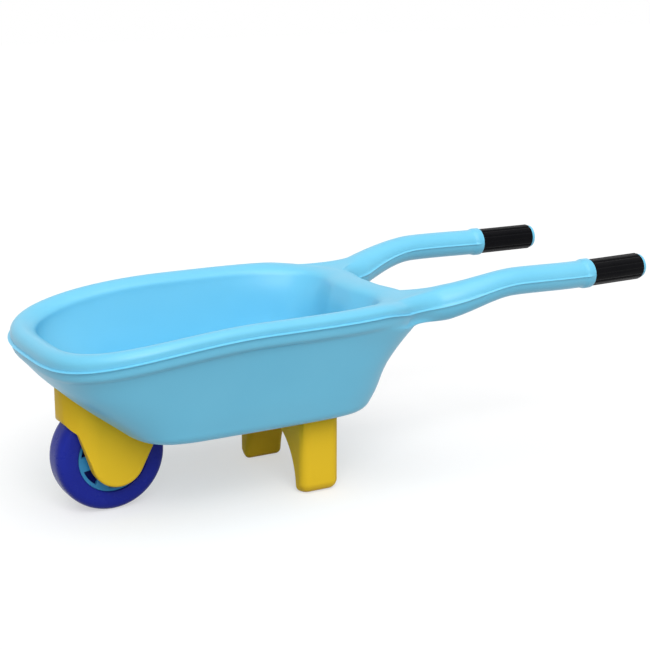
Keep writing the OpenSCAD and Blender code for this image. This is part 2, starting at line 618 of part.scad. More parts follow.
// Opening between two spokes, about +X: its long sides run along the spokes.
function window() = let (half = 180 / spokes, meet = spoke_w / 2 / sin(half),
    near = max(cap_r, meet) + 2, y = (near - meet) * tan(half),
    far = disc_r - ring_w - 1, a = half - asin(spoke_w / 2 / far))
    concat([[near, -y]], [for (i = [-4:4]) far * [cos(a * i / 4), sin(a * i / 4)]], [[near, y]]);
module hub_disc(side) {
    translate([axle_x, 0, axle_z]) rotate([-side * 90, 0, 0]) difference() {
        rotate_extrude($fn = 96) polygon(disc_half());
        for (i = [0:spokes - 1]) rotate(360 * (i + 0.5) / spokes + 8)
            translate([0, 0, disc_face - spoke_t - 1]) linear_extrude(spoke_t + 2) polygon(window());
    }
}
module left_hub_disc() {
    color(hub_blue) hub_disc(-1);
}
module right_hub_disc() {
    color(hub_blue) hub_disc(1);
}
module axle() {
    length = slot_w + 2 * socket_l - 2 * seat;
    color(steel) translate([axle_x, 0, axle_z]) rotate([90, 0, 0])
        cylinder(r = axle_r, h = length, center = true, $fn = 48);
}
module fork_screws() {
    color(steel) {
        at_cheek_screws() screw();
        at_bridge_screws() screw();
    }
}
module stand_screws() {
    color(steel) at_stand_screws() screw();
}

tub();
left_grip();
right_grip();
fork();
stand();
tyre();
left_hub_disc();
right_hub_disc();
axle();
fork_screws();
stand_screws();
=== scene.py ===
import math

import bpy
import numpy as np
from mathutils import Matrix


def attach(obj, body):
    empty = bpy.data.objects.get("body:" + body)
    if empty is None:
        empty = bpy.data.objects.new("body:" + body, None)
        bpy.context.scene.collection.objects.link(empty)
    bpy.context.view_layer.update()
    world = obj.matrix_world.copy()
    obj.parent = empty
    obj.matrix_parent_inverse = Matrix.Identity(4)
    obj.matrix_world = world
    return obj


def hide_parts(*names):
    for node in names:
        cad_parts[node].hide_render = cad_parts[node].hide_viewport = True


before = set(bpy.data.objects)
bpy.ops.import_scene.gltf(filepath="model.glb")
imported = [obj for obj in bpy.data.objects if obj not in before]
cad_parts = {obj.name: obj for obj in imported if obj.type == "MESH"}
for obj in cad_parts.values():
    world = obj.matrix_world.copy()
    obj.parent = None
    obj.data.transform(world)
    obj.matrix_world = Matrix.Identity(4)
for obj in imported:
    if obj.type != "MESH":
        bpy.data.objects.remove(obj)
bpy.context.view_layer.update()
scene = bpy.context.scene
scene.view_settings.view_transform = "Standard"

# ---- Camera ----
# A long lens at about the height of a small child's eyes, in front of the left side. It looks
# down a little, so that the inside of the tub shows.
camera_data = bpy.data.cameras.new("camera")
camera_data.lens = 83.44
camera_data.sensor_width = 36.0
camera = bpy.data.objects.new("camera", camera_data)
camera.location = (-0.9091, -1.5885, 0.6473)
camera.rotation_euler = (math.radians(75.764), 0.0, math.radians(-29.573))
scene.collection.objects.link(camera)
scene.camera = camera

# ---- Studio ----
# White paper floor in a bright white room, with a broad light overhead and another in front on
# the left. The paper shows white to the eye, and keeps the soft shadow of the barrow.
def background_rays(tree):
    """Light Path sum that is 1 for what the eye, a gloss or a clear material sees, else 0."""
    path = tree.nodes.new("ShaderNodeLightPath")
    seen = path.outputs["Is Camera Ray"]
    for name in ("Is Glossy Ray", "Is Transmission Ray"):
        either = tree.nodes.new("ShaderNodeMath")
        either.operation = "MAXIMUM"
        tree.links.new(seen, either.inputs[0])
        tree.links.new(path.outputs[name], either.inputs[1])
        seen = either.outputs[0]
    return seen


floor_mesh = bpy.data.meshes.new("floor")
floor_mesh.from_pydata([(-8, -8, 0), (8, -8, 0), (8, 8, 0), (-8, 8, 0)], [], [(0, 1, 2, 3)])
floor = bpy.data.objects.new("floor", floor_mesh)
scene.collection.objects.link(floor)
paper = bpy.data.materials.new("studio_paper")
paper.use_nodes = True
tree = paper.node_tree
tree.nodes.clear()
bounce, sheet, glow = (tree.nodes.new("ShaderNode" + kind)
                       for kind in ("BsdfDiffuse", "BsdfDiffuse", "Emission"))
bounce.inputs["Color"].default_value = (0.45, 0.45, 0.45, 1)
sheet.inputs["Color"].default_value = (0.5, 0.5, 0.5, 1)
glow.inputs["Strength"].default_value = 0.52
lit, choice = tree.nodes.new("ShaderNodeAddShader"), tree.nodes.new("ShaderNodeMixShader")
tree.links.new(sheet.outputs[0], lit.inputs[0])
tree.links.new(glow.outputs[0], lit.inputs[1])
tree.links.new(background_rays(tree), choice.inputs[0])
tree.links.new(bounce.outputs[0], choice.inputs[1])
tree.links.new(lit.outputs[0], choice.inputs[2])
tree.links.new(choice.outputs[0], tree.nodes.new("ShaderNodeOutputMaterial").inputs[0])
floor_mesh.materials.append(paper)

world = bpy.data.worlds.new("studio")
scene.world = world
world.use_nodes = True
tree = world.node_tree
tree.nodes.clear()
room, backdrop = tree.nodes.new("ShaderNodeBackground"), tree.nodes.new("ShaderNodeBackground")
for shade, strength in ((room, 0.3), (backdrop, 1.0)):
    shade.inputs["Color"].default_value = (1, 1, 1, 1)
    shade.inputs["Strength"].default_value = strength
choice = tree.nodes.new("ShaderNodeMixShader")
tree.links.new(background_rays(tree), choice.inputs[0])
tree.links.new(room.outputs[0], choice.inputs[1])
tree.links.new(backdrop.outputs[0], choice.inputs[2])
tree.links.new(choice.outputs[0], tree.nodes.new("ShaderNodeOutputWorld").inputs[0])


def sun(name, aim, spread, strength):
    """Sunlight that travels along aim, softened as if its source were spread degrees across."""
    data = bpy.data.lights.new(name, "SUN")
    data.angle = math.radians(spread)
    data.energy = strength
    obj = bpy.data.objects.new(name, data)
    flat = math.hypot(aim[0], aim[1])
    obj.rotation_euler = (math.atan2(flat, -aim[2]), 0.0, math.atan2(-aim[0], aim[1]))
    scene.collection.objects.link(obj)


sun("overhead", (0.13, 0.33, -1.0), 60, 1.66)
sun("left_front", (0.3, 0.85, -0.65), 40, 1.5)

# ---- Tub and arms ----
# The tub with its rolled rim, the rear deck and both arms are one hollow blow moulding in
# light blue polyethylene. A thin bead runs all round it, where the two halves of the mould met.

# Sizes are in millimetres and heights from the ground. In names, t, w, l, r, a and n stand for
# thickness, width, length, radius, angle and exponent.
MM = 0.001
overall_l, tub_w, tub_l, widest_at = 792.0, 325.0, 464.0, 202.0
bead_z, nose_drop, deck_drop = 226.5, 31.0, 10.0             # the bead's height, and its two drops
bead_out, bead_half_t, groove = 1.8, 1.3, 1.2                # its ridge, and a groove on each side
roll_w, roll_up, roll_down, roll_back = 34.0, 13.0, 17.0, 12.0
nose_up, nose_roll, nose_back = 19.0, 14.5, 8.5
deck_l, deck_up, deck_down = 52.0, 18.5, 16.0
floor_z, floor_t, floor_w, floor_from, floor_to, wall_t = 99.0, 6.0, 212.0, 109.0, 388.0, 10.0
nose_x, tip_x = -overall_l / 2, overall_l / 2
mid_x = nose_x + widest_at
front_l, half_w, rear_l = widest_at, tub_w / 2, tub_l - widest_at
nose_z, deck_z, inner_z = bead_z - nose_drop, bead_z - deck_drop, floor_z + floor_t
nose_n, rear_n, foot_nose_n, foot_rear_n = 3.3, 4.2, 4.4, 7.0    # superellipse exponents
steps, per_step = 48, 4                                      # directions, and columns in each
directions = np.linspace(0.0, steps, steps * per_step + 1)


def ease(t):
    """Smooth step: 3 t squared minus 2 t cubed, held at 0 and 1 outside that range."""
    u = np.clip(t, 0.0, 1.0)
    return u * u * (3 - 2 * u)


def mix(a, b, t):
    """The value a share t of the way from a to b."""
    return a + (b - a) * t


def unit(v):
    """Each vector along the last axis divided by its length."""
    return v / np.linalg.norm(v, axis=-1, keepdims=True)


def bend(a, b, da, db, t):
    """Cubic Hermite curve that leaves a with slope da and reaches b with slope db, at share t: the
    four, each weighted by its own cubic in t."""
    return (a * (2 * t**3 - 3 * t**2 + 1) + b * (3 * t**2 - 2 * t**3)
            + da * (t**3 - 2 * t**2 + t) + db * (t**3 - t**2))


def plan(front, half, rear, n_front, n_rear):
    """Superellipse seen from above, from the nose to the middle of the back: the distance from
    its centre is (|cos d / a| to the n + |sin d / b| to the n) to the power -1 / n."""
    d = math.pi - math.pi * directions / steps
    ahead = d > math.pi / 2
    a, n = np.where(ahead, front, rear), np.where(ahead, n_front, n_rear)
    r = ((np.abs(np.cos(d)) / a) ** n + (np.abs(np.sin(d)) / half) ** n) ** (-1 / n)
    return mid_x + r * np.cos(d), -r * np.sin(d)


# Shares of 0 to 1 round the rim: where the nose drops, and where the level rear deck lies.
drop_from, drop_power, deck_from = 30, 1.9, 180
rim_x = plan(front_l, half_w, rear_l, nose_n, rear_n)[0]
noseness = np.maximum(0.0, (mid_x + drop_from - rim_x) / (front_l + drop_from)) ** drop_power
rearness = ease((rim_x - (mid_x + deck_from)) / (rear_l - deck_from))
sweep, sweep_from, sweep_full, sweep_fade, sweep_end = 9.0, 15, 70, 90, 140


def near_rim(inset, rear_inset, nose_rise, rise, rear_rise):
    """Ring near the rim: the rim's outline drawn in by inset, and lifted over the bead by the
    three rises. The bead itself drops towards the nose and a little towards the rear deck. The
    rear edge is swept back towards the root of each arm: by the distance from the middle line, a
    smooth step up to the full sweep, and another one down again."""
    x, y = plan(front_l - inset, half_w - inset, rear_l - rear_inset, nose_n, rear_n)
    x = x + (sweep * rearness * ease((-y - sweep_from) / (sweep_full - sweep_from))
             * ease((sweep_end + y) / (sweep_end - sweep_fade)))
    z = ((bead_z + rise) + (nose_rise - rise - nose_drop) * noseness
         + (rear_rise - rise - deck_drop) * rearness)
    return np.stack([x, y, z], axis=-1)


def wall(front, half, rear, n_front, n_rear, zn, zs, zr):
    """Ring of the walls: a superellipse at the heights zn at the nose, zs at the sides, zr behind."""
    x, y = plan(front, half, rear, n_front, n_rear)
    return np.stack([x, y, zs + (zn - zs) * noseness + (zr - zs) * rearness], axis=-1)


foot_front, foot_rear, foot_half = front_l - floor_from, floor_to - widest_at, floor_w / 2
under_front, under_half, under_rear = front_l - nose_back, half_w - roll_back, rear_l - 2
under_zn, under_zs, under_zr = nose_z - nose_roll, bead_z - roll_down, deck_z - deck_down
knee_z = mix(floor_z, bead_z, 0.476)
knee_front = mix(foot_front + 15, under_front + 4, (knee_z - floor_z) / (under_zn - floor_z))
knee_half = mix(foot_half + 10, under_half, (knee_z - floor_z) / (under_zs - floor_z))
knee_rear = rear_l - 39.5
ramp_z = floor_z + 17
ramp_front = mix(foot_front + 12, knee_front, 0.25)
roll_in, deck_in, roll_foot = roll_w * 0.4, deck_l * 0.4, 1.4


def roll_ring(a):
    """Ring on the roll's oval section, a degrees round from the bead towards the ridge: its
    inset grows as 1 - cos a and its height as sin a."""
    across, up = 1 - math.cos(math.radians(a)), math.sin(math.radians(a))
    rises = [roll_foot + (top - roll_foot) * up for top in (nose_up, roll_up, deck_up)]
    return near_rim(mix(bead_out, roll_in, across), mix(bead_out, deck_in, across), *rises)


bead_foot = bead_out + groove
# The rings from the inner floor over the rim to the outer floor. They are drawn from the foot, the
# knee or the rim, in or out by so many millimetres; a wall's next two numbers are its exponents.
rings = [
    # The edge of the inner floor, and the hollow round it.
    wall(foot_front - 14, foot_half - 1 - wall_t, foot_rear - 15, foot_nose_n, foot_rear_n,
         inner_z, inner_z, inner_z),
    wall(foot_front - 4, foot_half + 7 - wall_t, foot_rear - 7, foot_nose_n, foot_rear_n,
         inner_z + 4, inner_z + 4, inner_z + 4),
    wall(foot_front + 6, foot_half + 12 - wall_t, foot_rear - 2, 4, 6.5,
         inner_z + 14, inner_z + 14, inner_z + 14),
    # The inner wall half-way up, and the inner side of the roll.
    wall(foot_front + 44, foot_half + 13, foot_rear + 6, 3.4, 5.5,
         mix(inner_z, nose_z, 0.58), mix(inner_z, bead_z, 0.5), mix(inner_z, deck_z, 0.5)),
    near_rim(roll_w * 0.935, deck_l + 2, nose_up - 16, roll_up - 16, deck_up - 14),
    near_rim(roll_w * 0.89, deck_l * 0.93, nose_up - 8.5, roll_up - 8.5, deck_up - 5),
    near_rim(roll_w * 0.68, deck_l * 0.72, nose_up - 3, roll_up - 3, deck_up - 0.7),
    # The ridge of the roll, its outer side, and the bead between two grooves.
    roll_ring(90), roll_ring(60), roll_ring(30),
    near_rim(bead_foot, bead_foot, bead_half_t, bead_half_t, bead_half_t),
    near_rim(0, 0, 0, 0, 0),
    near_rim(bead_foot, bead_foot, -bead_half_t, -bead_half_t, -bead_half_t),
    # The roll's lower side, and the crease where it meets the wall.
    near_rim(3.4, 3, -5, -6, -6),
    near_rim(4.8, 3.4, -0.7 * nose_roll, -0.7 * roll_down, -0.7 * deck_down),
    wall(under_front, under_half, under_rear, nose_n, 5.05, under_zn, under_zs, under_zr),
    # The outer wall down to the knee under the nose, and the flat ramp below that.
    wall(mix(knee_front, under_front, 0.7), mix(knee_half, under_half, 0.7),
         mix(knee_rear, under_rear, 0.27), mix(3.4, nose_n, 0.7), 5.5,
         mix(knee_z, under_zn, 0.7), mix(knee_z, under_zs, 0.7), mix(knee_z, under_zr, 0.3)),
    wall(knee_front, knee_half, knee_rear, 3.6, 6, knee_z, knee_z, knee_z),
    wall(ramp_front, foot_half + 15, mix(foot_rear + 12, knee_rear, 0.3), 4, 6.5,
         ramp_z, ramp_z, ramp_z),
    # The rounded foot of the wall and the edge of the floor.
    wall(foot_front + 16, foot_half + 11, foot_rear + 12, foot_nose_n, foot_rear_n,
         floor_z + 7, floor_z + 7, floor_z + 7),
    wall(foot_front + 9, foot_half + 6, foot_rear + 7, foot_nose_n, foot_rear_n,
         floor_z + 1.8, floor_z + 1.8, floor_z + 1.8),
    wall(foot_front, foot_half, foot_rear, foot_nose_n, foot_rear_n, floor_z, floor_z, floor_z),
]
# Each ring so far is the left half; the right half is its mirror image.
rings = np.stack([np.concatenate([ring, ring[-2:0:-1] * [1.0, -1.0, 1.0]]) for ring in rings])
around = rings.shape[1]
ridge_ring, bead_ring, crease_ring = 7, 11, 15
rows_between = [3, 4, 12, 10, 4, 3, 3, 3, 3, 3, 2, 2, 3, 3, 3, 5, 5, 6, 4, 3, 3]


def smooth_rows(knots, counts, sharp):
    """Curves through the same point of every ring. Each stretch is a cubic whose end slopes are
    the mean of the slopes on both sides, weighted by the length of the other side; at a sharp
    ring each side keeps its own slope. The first and last slopes are laid level."""
    chord = np.diff(knots, axis=0)
    length = np.linalg.norm(chord, axis=-1, keepdims=True)
    slope = chord / length
    mean = (slope[:-1] * length[1:] + slope[1:] * length[:-1]) / (length[1:] + length[:-1])
    leave = np.concatenate([slope[:1] * [1, 1, 0], mean, slope[-1:]])
    arrive = np.concatenate([slope[:1], mean, slope[-1:] * [1, 1, 0]])
    for j in sharp:
        leave[j], arrive[j] = slope[j], slope[j - 1]
    out = [knots[:1]]
    for j, n in enumerate(counts):
        t = (np.arange(1, n + 1) / n)[:, None, None]
        out.append(bend(knots[j], knots[j + 1], leave[j] * length[j], arrive[j + 1] * length[j], t))
    return np.concatenate(out)


body = smooth_rows(rings, rows_between, [bead_ring - 1, bead_ring + 1, crease_ring])
row_of = np.concatenate([[0], np.cumsum(rows_between)])      # row of each ring
ring_of = np.interp(np.arange(len(body)), row_of, np.arange(len(rings)))    # and the other way

# The arms: each leaves an opening in the rim between two directions and runs back to its grip.
# The opening, its mouth, reaches from the ridge of the roll down to the crease under it.
mouth_from, mouth_to = 40, 44
arm_span, arm_bulge, root_span, grip_z, arm_drop = 234.5, 244.8, 186.0, 239.5, 2.0
root_r, arm_r, collar_r, collar_l, collar_lip = 22.5, 17.2, 18.8, 15.0, 1.2
grip_l, core_r, tip_out = 85.0, 13.4, 3.0
deck_x, grip_in_x = nose_x + tub_l, tip_x - tip_out - grip_l
swing_from, swing, toe_from = deck_x + 11, 44.0, mix(deck_x, grip_in_x, 0.8)
climb_from, climb_to, slim_from, slim_to = deck_x - 10, deck_x + 128, deck_x + 6, deck_x + 114
merge_x, straight_x = deck_x + 33, grip_in_x - collar_l
flare_pull, flare_rings, climb_rings, straight_rings, collar_rings = 46.0, 14, 22, 20, 15
cap_r, cap_round, cap_in, cap_face = 15.6, 2.4, 1.6, 0.1
cap_from = tip_x - tip_out - cap_in
bead_half_a = 5.0                                            # half the bead's width, in degrees


def arm_y(x):
    """Half the distance between the arms: it swings out from the deck as 1 - exp(-x / swing),
    stays nearly straight, and leans in a little over the last fifth."""
    return (arm_bulge / 2 - (arm_bulge - root_span) / 2 * np.exp(-(x - swing_from) / swing)
            - (arm_bulge - arm_span) / 2 * np.maximum(0.0, x - toe_from) / (tip_x - toe_from))


def arm_z(x):
    """Height of an arm's centre line: a smooth step up from the deck, then a slight drop."""
    return (deck_z + (grip_z + arm_drop - deck_z) * ease((x - climb_from) / (climb_to - climb_from))
            - arm_drop * ease((x - climb_to) / (grip_in_x - climb_to)))


# The mouth's points in order: from the bead up to the ridge, along it to the inner side, down to
# the crease, back along it, and up to the bead again. The columns are counted from the nose.
top_row, bead_row, low_row = row_of[ridge_ring], row_of[bead_ring], row_of[crease_ring]
outer_col, inner_col = mouth_from * per_step, mouth_to * per_step
up, down = np.arange(bead_row, top_row, -1), np.arange(top_row, low_row)
forth, back = np.arange(outer_col, inner_col), np.arange(inner_col, outer_col, -1)
up_again = np.arange(low_row, bead_row, -1)
mouth_row = np.concatenate([up, np.full(len(forth), top_row), down,
                            np.full(len(back), low_row), up_again])
mouth_col = np.concatenate([np.full(len(up), outer_col), forth, np.full(len(down), inner_col), back,
                            np.full(len(up_again), outer_col)])
# Each point gets an angle round the arm, from the outer bead over the top. It follows from the
# count of rings and directions passed on the way, 24 in all: 4 up, 4 along, 8 down, 4 back, 4 up.
passed = np.concatenate([bead_ring - ring_of[up], 4 + (forth - outer_col) / per_step,
                         8 + ring_of[down] - ridge_ring, 16 + (inner_col - back) / per_step,
                         20 + crease_ring - ring_of[up_again]])
half_turn = [0, 5, 26, 46, 64, 77, 90, 103, 116, 134, 154, 175, 180]
angle = np.radians(np.interp(passed, range(25), half_turn + [360 - a for a in half_turn[-2::-1]]))


def round_rings(x, r, b):
    """Rings of radius r about the arm's centre line at x, square to it. Near the parting plane
    the radius grows by the bead, b times 0.5 + 0.5 cos c, where c goes from 0 on the plane to a
    half turn at the bead's edge. The way ahead comes from the places 1 mm before and after x."""
    ahead = unit(np.stack([np.full(x.shape, 2.0), arm_y(x - 1) - arm_y(x + 1),
                           arm_z(x + 1) - arm_z(x - 1)], axis=-1))
    out = unit(np.cross(ahead, [0.0, 0.0, 1.0]))
    upward = np.cross(out, ahead)
    off = np.degrees(np.abs((angle + math.pi / 2) % math.pi - math.pi / 2))
    ridge = 0.5 + 0.5 * np.cos(np.pi * np.minimum(off / bead_half_a, 1.0))
    radius = (r[:, None] + b[:, None] * ridge)[..., None]
    centre = np.stack([x, -arm_y(x), arm_z(x)], axis=-1)[:, None, :]
    return centre + radius * (np.cos(angle)[None, :, None] * out[:, None, :]
                              + np.sin(angle)[None, :, None] * upward[:, None, :])


# Place along the arm, radius and bead of each ring: the arm, the collar that swells in its first
# half and has a rounded lip, the core inside the grip, and the capped end behind it.
arm_x = np.concatenate([np.linspace(merge_x, slim_to, climb_rings),
                        np.linspace(slim_to, straight_x, straight_rings)[1:]])
arm_radius = mix(root_r, arm_r, ease((arm_x - slim_from) / (slim_to - slim_from)))
collar = np.linspace(0, 1, collar_rings)[1:]
collar_x = straight_x + collar * (collar_l - collar_lip)
collar_radius = arm_r + (collar_r - arm_r) * ease(collar / 0.5)
turn = np.radians([18, 36, 54, 72, 90])
lip_x = grip_in_x - collar_lip + collar_lip * np.sin(turn)
lip_radius = collar_r - collar_lip + collar_lip * np.cos(turn)
core_x, core_radius = [grip_in_x, cap_from, cap_from + cap_face], [core_r, core_r, cap_r]
cap_x = tip_x - cap_round + cap_round * np.sin(turn)
cap_radius = cap_r - cap_round * (1 - np.cos(turn))
station_x = np.concatenate([arm_x, collar_x, lip_x, core_x, cap_x])
station_r = np.concatenate([arm_radius, collar_radius, lip_radius, core_radius, cap_radius])
station_b = np.concatenate([np.full(len(arm_x), bead_out), bead_out * (1 - ease(collar)),
                            np.zeros(len(lip_x) + len(core_x) + len(cap_x))])
rounds = round_rings(station_x, station_r, station_b)

# The flare from the mouth to the round arm. An arm leaves its mouth straight back, but turned in
# on its outer side, in and up on the lower half of that side, and up on its inner top.
narrowing, tuck, lift, deck_share, deck_from_cos, deck_over_cos = 0.3, 0.4, 0.1, 0.75, 0.1, 0.7
mouth = body[mouth_row, mouth_col]
lead = unit(np.array([1.0, float(arm_y(merge_x) - arm_y(merge_x + 1)),
                      float(arm_z(merge_x + 1) - arm_z(merge_x))]))
inner_top = (angle > math.pi / 2) & (angle < math.pi)
lift_up = np.where(inner_top, lift * np.sin(2 * angle - math.pi), 0.0)
tuck_in = np.where(angle > 1.5 * math.pi, tuck * np.sin(2 * angle - 3 * math.pi), 0.0)
start = np.stack([np.ones(len(angle)), narrowing * (1 + np.cos(angle)) + tuck_in,
                  lift_up + tuck_in], axis=-1)
# On its inner side an arm leaves along the deck's own edge, which rounds the corner between them.
along_edge = unit(body[mouth_row, inner_col] - body[mouth_row, inner_col + 2])
inwards = ease((deck_from_cos - np.cos(angle)) / deck_over_cos)[:, None]
start = flare_pull * mix(start, deck_share * along_edge, inwards)
share = (np.arange(1, flare_rings) / flare_rings)[:, None, None]
arm = np.concatenate([bend(mouth, rounds[0], start, flare_pull * lead, share), rounds])

# The wheel well under the nose and the hump over it.
axle_at, tyre_r, tyre_w, slot_w, slot_gap = 93.5, 67.0, 42.0, 47.0, 2.5
axle_x, axle_z = nose_x + axle_at, tyre_r
well_r, well_half, well_rim, hump_t = tyre_r + slot_gap + 1, slot_w / 2 + 1, 14.0, 4.5
hump_fillet, well_fillet, sideways = 5.0, 0.6, 0.6


def clear_of_wheel(p, r, half, rim, fillet):
    """Moves the points inside a wheel-shaped block out to its face, with a hollow fillet round
    the foot. The distance to the block is that to a rectangle with rounded corners in the plane
    of radius and width; points within one fillet of the face move by (fillet - d) squared
    over 4 fillets. They move away from the axle, and a little sideways."""
    p = p.copy()

    def distance(q):
        """How far q lies outside the block's face, below 0 inside it."""
        rho = np.hypot(q[..., 0] - axle_x, q[..., 2] - axle_z) - (r - rim)
        side = np.abs(q[..., 1]) - (half - rim)
        return (np.minimum(np.maximum(rho, side), 0)
                + np.hypot(np.maximum(rho, 0), np.maximum(side, 0)) - rim)

    d = distance(p)
    wanted = np.where(d < -fillet, 0.0, np.where(d < fillet, (fillet + d) ** 2 / (4 * fillet), d))
    from_axle = np.stack([p[..., 0] - axle_x, 0 * d, p[..., 2] - axle_z], axis=-1)
    way = unit(unit(from_axle) + [0.0, sideways, 0.0] * p / half)
    for _ in range(14):                                      # steps enough to settle on the face
        p += way * (wanted - distance(p))[..., None]
    return p


def floor_rings(edge, count):
    """Rings that shrink from edge towards its centre in equal steps, and the centre itself."""
    centre = np.array([mid_x, 0.0, edge[0, 2]])
    size = (1 - np.arange(1, count) / count)[:, None, None]
    return centre + size * (edge - centre), centre


floor_steps = 24
inside, inner_pole = floor_rings(body[0], floor_steps)
below, outer_pole = floor_rings(body[-1], floor_steps)
skin = np.concatenate([inside[::-1], body, below])
body_from = len(inside)
ridge_at, crease_at = body_from + top_row, body_from + low_row
skin[:ridge_at] = clear_of_wheel(skin[:ridge_at], well_r + hump_t, well_half + hump_t,
                                 well_rim + hump_t, hump_fillet)
skin[crease_at:] = clear_of_wheel(skin[crease_at:], well_r, well_half, well_rim, well_fillet)


def grid_faces(index):
    """Quads between neighbouring rows and columns of a grid of point numbers, whose last column
    lies next to its first."""
    index = np.concatenate([index, index[:, :1]], axis=1)
    return np.stack([index[:-1, :-1], index[1:, :-1], index[1:, 1:], index[:-1, 1:]],
                    axis=-1).reshape(-1, 4)


def solid(name, points, faces, sharp=180.0):
    """Mesh object from points in millimetres and lists of faces, shaded smooth but for edges
    where the faces turn by more than sharp degrees."""
    mesh = bpy.data.meshes.new(name)
    mesh.from_pydata((np.asarray(points) * MM).tolist(), [], faces)
    mesh.validate()
    mesh.shade_smooth()
    if sharp < 180:
        mesh.set_sharp_from_angle(angle=math.radians(sharp))
    obj = bpy.data.objects.new(name, mesh)
    scene.collection.objects.link(obj)
    return obj


def carved(obj, cutters, sharp):
    """obj after the cutters, each (operation, points, faces), have been taken from it or have
    trimmed it to their inside. Its edges are sharp where faces turn by more than sharp degrees."""
    for operation, pts, cutter_faces in cutters:
        cutter = solid("cutter", pts, cutter_faces)
        cut = obj.modifiers.new("cut", "BOOLEAN")
        cut.operation, cut.object, cut.solver = operation, cutter, "EXACT"
        bpy.context.view_layer.update()
        result = obj.evaluated_get(bpy.context.evaluated_depsgraph_get())
        made = bpy.data.meshes.new_from_object(result)
        obj.modifiers.clear()
        obj.data = made
        bpy.data.objects.remove(cutter)
    obj.data.set_sharp_from_angle(angle=math.radians(sharp))
    return obj


def prism(p, low, high):
    """Upright prism on the outline p between two heights: its points and faces."""
    n = len(p)
    pts = np.concatenate([np.c_[p, np.full(n, low)], np.c_[p, np.full(n, high)]])
    index = np.arange(2 * n).reshape(2, n)
    return pts, grid_faces(index)[:, ::-1].tolist() + [index[0, ::-1].tolist(), index[1].tolist()]


# The skin's faces but for the two mouths, then a tube and an end for each arm, sewn to its mouth,
# and last the two fans of triangles that close the floors.
rows, points = len(skin), skin.reshape(-1, 3)
number = np.arange(rows * around).reshape(rows, around)
quads = grid_faces(number)
quad_row, quad_col = np.divmod(np.arange(len(quads)), around)
quad_col = np.minimum(quad_col, around - 1 - quad_col)
opening = ((quad_col >= outer_col) & (quad_col < inner_col)
           & (quad_row >= ridge_at) & (quad_row < crease_at))
faces = [quads[~opening]]
for side in (1, -1):
    side_col = mouth_col if side == 1 else (around - mouth_col) % around
    mouth_number = number[mouth_row + body_from, side_col]
    arm_number = len(points) + np.arange(arm[:, :, 0].size).reshape(len(arm), -1)
    points = np.concatenate([points, (arm * [1, side, 1]).reshape(-1, 3),
                             [[tip_x, -side * arm_y(tip_x), arm_z(tip_x)]]])
    tube = grid_faces(np.concatenate([mouth_number[None], arm_number]))
    end = arm_number[-1]
    fan = np.stack([end, np.full(len(end), len(points) - 1), np.roll(end, -1)], axis=-1)
    faces += [tube, fan] if side == 1 else [tube[:, ::-1], fan[:, ::-1]]
poles = len(points) + np.arange(2)
points = np.concatenate([points, [inner_pole, outer_pole]])
faces.append(np.stack([np.full(around, poles[0]), number[0], np.roll(number[0], -1)], axis=-1))
faces.append(np.stack([number[-1], np.full(around, poles[1]), np.roll(number[-1], -1)], axis=-1))
tub = solid("tub_shell", points, [face for part in faces for face in part.tolist()])

# Two round cups in the double front wall give room for the heads of the bridge screws. They are
# square to the flat ramp under the nose.
ramp_slope = (knee_z - ramp_z) / (ramp_front - knee_front)
cup_r, cup_up, cup_top, cup_x, cup_y = 7.0, 6.0, 36.0, axle_x - 38, 20.0
down_ramp, off_ramp = unit(np.array([1, 0, ramp_slope])), unit(np.array([-ramp_slope, 0, 1]))
around_cup = np.linspace(0, 2 * math.pi, 48, endpoint=False)
cup_circle = cup_r * np.stack([np.cos(around_cup), np.sin(around_cup)], axis=-1)
cup, cup_faces = prism(cup_circle, cup_up, cup_top)
cup = cup[:, :1] * down_ramp + cup[:, 1:2] * [0, 1, 0] + cup[:, 2:] * off_ramp
cup_foot = np.array([cup_x, cup_y, ramp_z + (cup_x - mid_x + ramp_front) * ramp_slope])
tub = carved(tub, [("DIFFERENCE", cup + cup_foot * [1, side, 1], cup_faces) for side in (-1, 1)],
             sharp=42)


